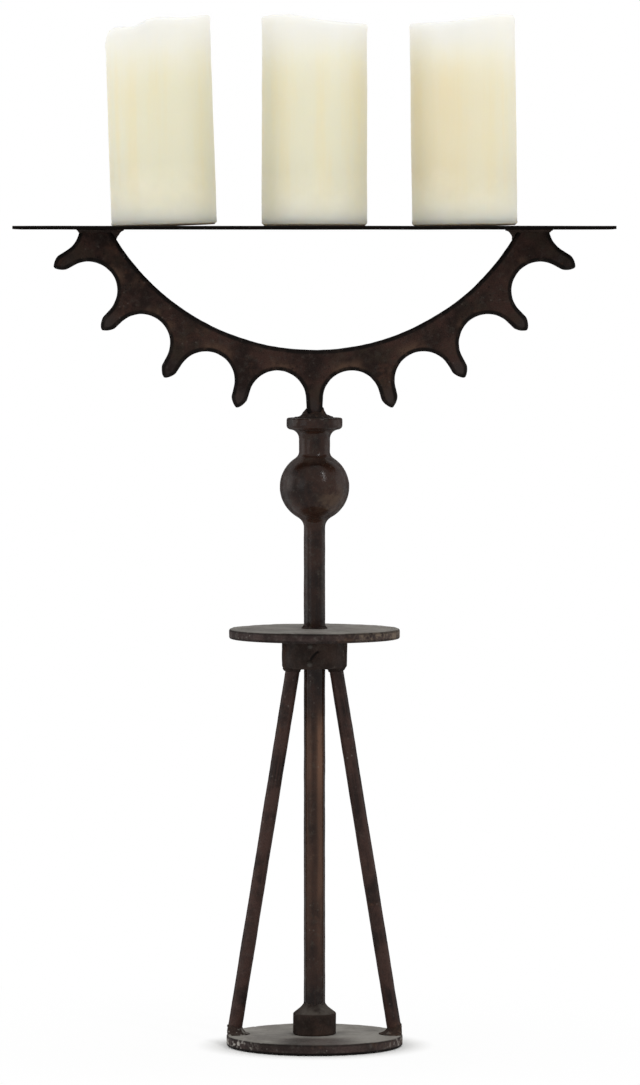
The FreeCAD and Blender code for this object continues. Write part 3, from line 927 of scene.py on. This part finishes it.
# %% [markdown]
# ## Welds
# A weld bead is a row of frozen drops. Each bead's solid gives its place and bulk, and its skin gets large
# lumps with smaller ones on them.

# %% Welds
def weld_relief(place):
    return 0.05 * mm + swells(place, 5.5 * mm, 1.1 * mm) + swells(place, 1.8 * mm, 0.3 * mm, 5.0)


for node in sorted(nodes):
    if slot_of[node] == "weld_metal":
        skin(node, 0.45 * mm, weld_relief)

# %% [markdown]
# ## Top plate
# The plate is a strip of thin hot-rolled stock. Remeshing a sheet this thin would need very many faces, so a
# box with bevelled edges is cut into even cells instead, and it gets only faint swells.

# %% Top plate
plate_cell = 7 * mm
plate_bevel = 0.45 * mm
plate_corner = 2.0 * mm


def climb(edge):
    """Difference in height between an edge's ends."""
    return abs(edge.verts[0].co.z - edge.verts[1].co.z)


low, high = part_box("top_plate")
middle, reach = (low + high) / 2, high - low
shape = bmesh.new()
bmesh.ops.create_cube(shape, size=1.0)
for point in shape.verts:
    point.co = Vector([centre + share * size for centre, share, size in zip(middle, point.co, reach)])
upright_edges = [edge for edge in shape.edges if climb(edge) > plate_bevel]
bmesh.ops.bevel(shape, geom=upright_edges, offset=plate_corner, segments=5, profile=0.5, affect="EDGES")
rims = [edge for edge in shape.edges if climb(edge) < plate_bevel]
bmesh.ops.bevel(shape, geom=rims, offset=plate_bevel, segments=2, profile=0.6, affect="EDGES")
for axis in (0, 1):
    cuts = round(reach[axis] / plate_cell)
    normal = Vector([float(axis == other) for other in range(3)])
    for cut in range(1, cuts):
        spot = low + reach * cut / cuts
        everything = shape.verts[:] + shape.edges[:] + shape.faces[:]
        bmesh.ops.bisect_plane(shape, geom=everything, plane_co=spot, plane_no=normal)
plate = new_piece("top_plate_skin", [], [])
shape.to_mesh(plate.data)
shape.free()
press(plate, lambda place: swells(place, 40 * mm, 0.12 * mm))
dress(plate, "top_plate", finishes["strip_iron"])

# %% [markdown]
# ## Wax
# Candle wax lets light in and scatters it, which subsurface scattering gives. In the photograph the wax is
# whitest near the rim, where the wall round the burnt well is thin, ivory further down and greyer at the
# foot, with soft upright bands from the mould. Height and stretched noise mix those colours: the rim colour is a
# painted glow for the light through the thin wall, and the foot colour is painted lighter, painted light against
# the shade that the dark plate casts there. The right candle is older and yellower than the others, and the
# undersides are painted dark brown, a painted shade.

# %% Wax finish
wax_low, wax_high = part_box("candle_centre_wax")
# The rim colour is painted whiter: a painted glow for light through the thin wall round the well.
wax_rim_glow = (0.745, 0.728, 0.665, 1.0)
wax_body = (0.735, 0.713, 0.56, 1.0)
# The foot colour is painted lighter: painted light against the shade that the dark plate casts on the foot.
wax_foot_lightened = (0.93, 0.887, 0.72, 1.0)
wax_warm = (0.757, 0.697, 0.487, 1.0)
wax_aged = (0.752, 0.66, 0.455, 1.0)
wax_underside_shade = (0.16, 0.1, 0.06, 1.0)
wax_waver_scale, wax_waver = 25, 0.2
wax_band_scale, wax_band_squash, wax_band_amount = 75, 0.06, 0.7
wax_smear_scale, wax_smear_height, wax_smear_strength = 150, 0.6 * mm, 0.15
wax_scatter, wax_scatter_shares = 32 * mm, (1.0, 0.9, 0.72)
right_candle_side = (60 * mm, 65 * mm)
aged_reach = (90 * mm, 140 * mm)

wax, tree, surface = new_finish("wax")
axes = coordinates(tree)
rise = put(tree, "ShaderNodeMapRange", {"Value": axes["Z"], "From Min": wax_low.z, "From Max": wax_high.z})
waver = product(tree, clouds(tree, own_place(tree), wax_waver_scale), wax_waver)
height = reckon(tree, "ADD", rise.outputs["Result"], reckon(tree, "SUBTRACT", waver, wax_waver / 2))
squashed = drawn_out(tree, wax_band_squash)
bands = mask(tree, clouds(tree, squashed, wax_band_scale, 3), 0.4, 0.62)
banded = mix(tree, product(tree, bands, wax_band_amount), wax_body, wax_warm)
aged = product(tree, mask(tree, axes["X"], *right_candle_side), mask(tree, axes["X"], *aged_reach, 0.5, 0.2))
body = mix(tree, aged, banded, wax_aged)
lower = mix(tree, mask(tree, height, 0.0, 0.3), wax_foot_lightened, body)
before_underside_shade = mix(tree, mask(tree, height, 0.6, 0.98), lower, wax_rim_glow)
# What faces down is painted dark brown: a painted shade on the undersides.
underside_shade = mask(tree, facing(tree)["Z"], -0.9, -0.6, 1.0, 0.0)
smears = put(tree, "ShaderNodeBump", {"Height": clouds(tree, squashed, wax_smear_scale),
                                      "Strength": wax_smear_strength, "Distance": wax_smear_height})
feed(tree, surface.inputs["Base Color"], mix(tree, underside_shade, before_underside_shade, wax_underside_shade))
feed(tree, surface.inputs["Roughness"], patches(tree, 180, 0.3, 0.7, 0.38, 0.55))
feed(tree, surface.inputs["Normal"], smears.outputs["Normal"])
surface.inputs["Subsurface Weight"].default_value = 1.0
surface.inputs["Subsurface Radius"].default_value = wax_scatter_shares
surface.inputs["Subsurface Scale"].default_value = wax_scatter
surface.inputs["Specular IOR Level"].default_value = 0.5
print("wax from", round(wax_low.z, 3), "to", round(wax_high.z, 3), "m")

# %% [markdown]
# ## Candles
# Each candle is a pillar that leans a little and has melted to an uneven rim round a burnt well. A turned shape
# would be too regular, so the solid is measured instead: rays parallel to the wick find the height of its
# top and of its underside at each angle, and rings of points through those heights make one closed surface, with
# rounded rims, a faintly uneven wall, and a hole for the wick.

# %% Candle body
columns = 132
wall_rings = 34
candle_radius = (wax_high.x - wax_low.x) / 2
wick_hole = 1.6 * mm
ray_start = 300 * mm
well_radii = [wick_hole] + [radius * mm for radius in (2.5, 5, 9, 13, 17, 21, 24.5, 27, 29, 30.3, 31.2, 32.2, 33.6)]
rim_rounding = ((3.0 * mm, 0.0), (1.7 * mm, 0.15 * mm), (0.8 * mm, 0.5 * mm), (0.25 * mm, 1.2 * mm), (0.0, 2.4 * mm))
rim_sample = 0.3 * mm
wall_inset = 0.3 * mm
mould_stretch = 0.15
foot_sample = 0.5 * mm
foot_rounding = ((0.2 * mm, 0.6 * mm), (0.8 * mm, 0.02 * mm))


def wick_frame(node):
    """Foot of a wick, the direction that it runs in, and two directions square to it."""
    points = sorted((Vector(point.co) for point in nodes[node].data.vertices), key=lambda point: point.z)
    half = len(points) // 2
    foot = sum(points[:half], Vector()) / half
    head = sum(points[-half:], Vector()) / half
    upright = (head - foot).normalized()
    across = (Vector((1, 0, 0)) - upright * upright.x).normalized()
    return foot, upright, across, upright.cross(across)


def candle(name):
    """Dress a candle's wax in rings of points that are measured on its solid."""
    node = name + "_wax"
    foot, upright, across, away = wick_frame(name + "_wick")
    mesh = nodes[node].data
    solid = BVHTree.FromPolygons([point.co for point in mesh.vertices], [face.vertices for face in mesh.polygons])
    tab_low, tab_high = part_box(name + "_wick_tab")
    tab_radius = (tab_high.x - tab_low.x) / 2
    foot_radii = [candle_radius - 2 * mm, 30 * mm, 22 * mm, tab_radius + 0.5 * mm, tab_radius - 0.1 * mm, 6 * mm,
                  wick_hole]

    def spot(radius, turn, height):
        return foot + across * (radius * math.cos(turn)) + away * (radius * math.sin(turn)) + upright * height

    def measured(radius, turn, sign):
        """Height of the solid's top, for sign 1, or of its underside, for sign -1."""
        hit = solid.ray_cast(spot(radius, turn, sign * ray_start), upright * -sign)[0]
        return (hit - foot).dot(upright)

    points = []
    for column in range(columns):
        turn = math.tau * column / columns
        seed = spot(candle_radius, turn, 0)
        line = [spot(radius, turn, measured(radius, turn, 1)) for radius in well_radii]
        for inset, drop in rim_rounding:
            sampled = candle_radius - max(inset, rim_sample)
            line.append(spot(candle_radius - inset, turn, measured(sampled, turn, 1) - drop))
        upper = (line[-1] - foot).dot(upright)
        lower = measured(candle_radius - foot_sample, turn, -1)
        for ring in range(1, wall_rings + 1):
            height = upper + (lower - upper) * (ring / (wall_rings + 1))
            band = swells(seed + upright * height * mould_stretch, 14 * mm, 0.35 * mm)
            band += swells(seed + upright * height, 22 * mm, 0.2 * mm, 7.0)
            line.append(spot(candle_radius + band - wall_inset, turn, height))
        line += [spot(candle_radius - inset, turn, lower + lift) for inset, lift in foot_rounding]
        line += [spot(radius, turn, measured(radius, turn, -1)) for radius in foot_radii]
        points += line
    rows = len(points) // columns
    faces = []
    for column in range(columns):
        here, there = column * rows, (column + 1) % columns * rows
        for row in range(rows):
            below = (row + 1) % rows
            faces.append((here + row, here + below, there + below, there + row))
    dress(new_piece(node + "_skin", points, faces), node, wax)


candle_names = sorted(body for body in frame["bodies"] if body.startswith("candle"))
for name in candle_names:
    candle(name)

# %% [markdown]
# ## Wicks and wick tabs
# A wick is three twisted strands of cotton, black and curled where it has burnt, and a small tin tab holds its
# foot under the wax. Each strand is a tube round a helix, with shorter steps where it shows.

# %% Wicks
strands = 3
strand_sides = 7
strand_radius = 0.62 * mm
twist_radius = 0.56 * mm
twist_pitch = 7 * mm
curl = 1.6 * mm
fray_share, fray_length = 0.12, 1.2 * mm
shown_length = 15 * mm
shown_step, hidden_step = 0.6 * mm, 1.75 * mm
cotton_dark = (0.42, 0.37, 0.28, 1.0)
cotton_light = (0.6, 0.55, 0.44, 1.0)
char = (0.012, 0.01, 0.009, 1.0)

cotton, tree, surface = new_finish("wick")
wick_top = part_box("candle_centre_wick")[1].z
fibres = patches(tree, 1500, 0.3, 0.7)
charred = mask(tree, coordinates(tree)["Z"], wick_top - 11 * mm, wick_top - 6 * mm)
feed(tree, surface.inputs["Base Color"], mix(tree, charred, mix(tree, fibres, cotton_dark, cotton_light), char))
feed(tree, surface.inputs["Roughness"], mask(tree, fibres, 0.0, 1.0, 0.75, 0.95))


def wick(name):
    """Dress a wick in twisted strands."""
    node = name + "_wick"
    foot, upright, across, away = wick_frame(node)
    reach = [(point.co - foot).dot(upright) for point in nodes[node].data.vertices]
    height, end = min(reach), max(reach)
    steps = []
    while height < end:
        steps.append(height)
        height += shown_step if height > end - shown_length else hidden_step
    steps.append(end)
    points, faces = [], []
    for strand in range(strands):
        first = len(points)
        for height in steps:
            turn = math.tau * (height / twist_pitch + strand / strands)
            bend = curl * max(0.0, 1 - (end - height) / shown_length) ** 2
            middle = foot + upright * height + across * bend
            middle += (across * math.cos(turn) + away * math.sin(turn)) * twist_radius
            fray = strand_radius * (1 + fray_share * noise.noise(middle / fray_length))
            for side in range(strand_sides):
                angle = math.tau * side / strand_sides
                points.append(middle + (across * math.cos(angle) + away * math.sin(angle)) * fray)
        for step in range(len(steps) - 1):
            here = first + step * strand_sides
            for side in range(strand_sides):
                beside = (side + 1) % strand_sides
                faces.append((here + side, here + beside, here + strand_sides + beside, here + strand_sides + side))
        faces.append(tuple(range(first + strand_sides - 1, first - 1, -1)))
        faces.append(tuple(range(len(points) - strand_sides, len(points))))
    dress(new_piece(node + "_skin", points, faces), node, cotton)


for name in candle_names:
    wick(name)

# %% Wick tabs
tin_dark = (0.5, 0.5, 0.49, 1.0)
tin_light = (0.68, 0.68, 0.66, 1.0)

tin, tree, surface = new_finish("wick_tab")
spangle = patches(tree, 300, 0.35, 0.65)
feed(tree, surface.inputs["Base Color"], mix(tree, spangle, tin_dark, tin_light))
feed(tree, surface.inputs["Roughness"], mask(tree, spangle, 0.0, 1.0, 0.45, 0.3))
surface.inputs["Metallic"].default_value = 1.0
for name in candle_names:
    tab = nodes[name + "_wick_tab"]
    tab.data.materials.clear()
    tab.data.materials.append(tin)
print("wick tabs:", len(candle_names))
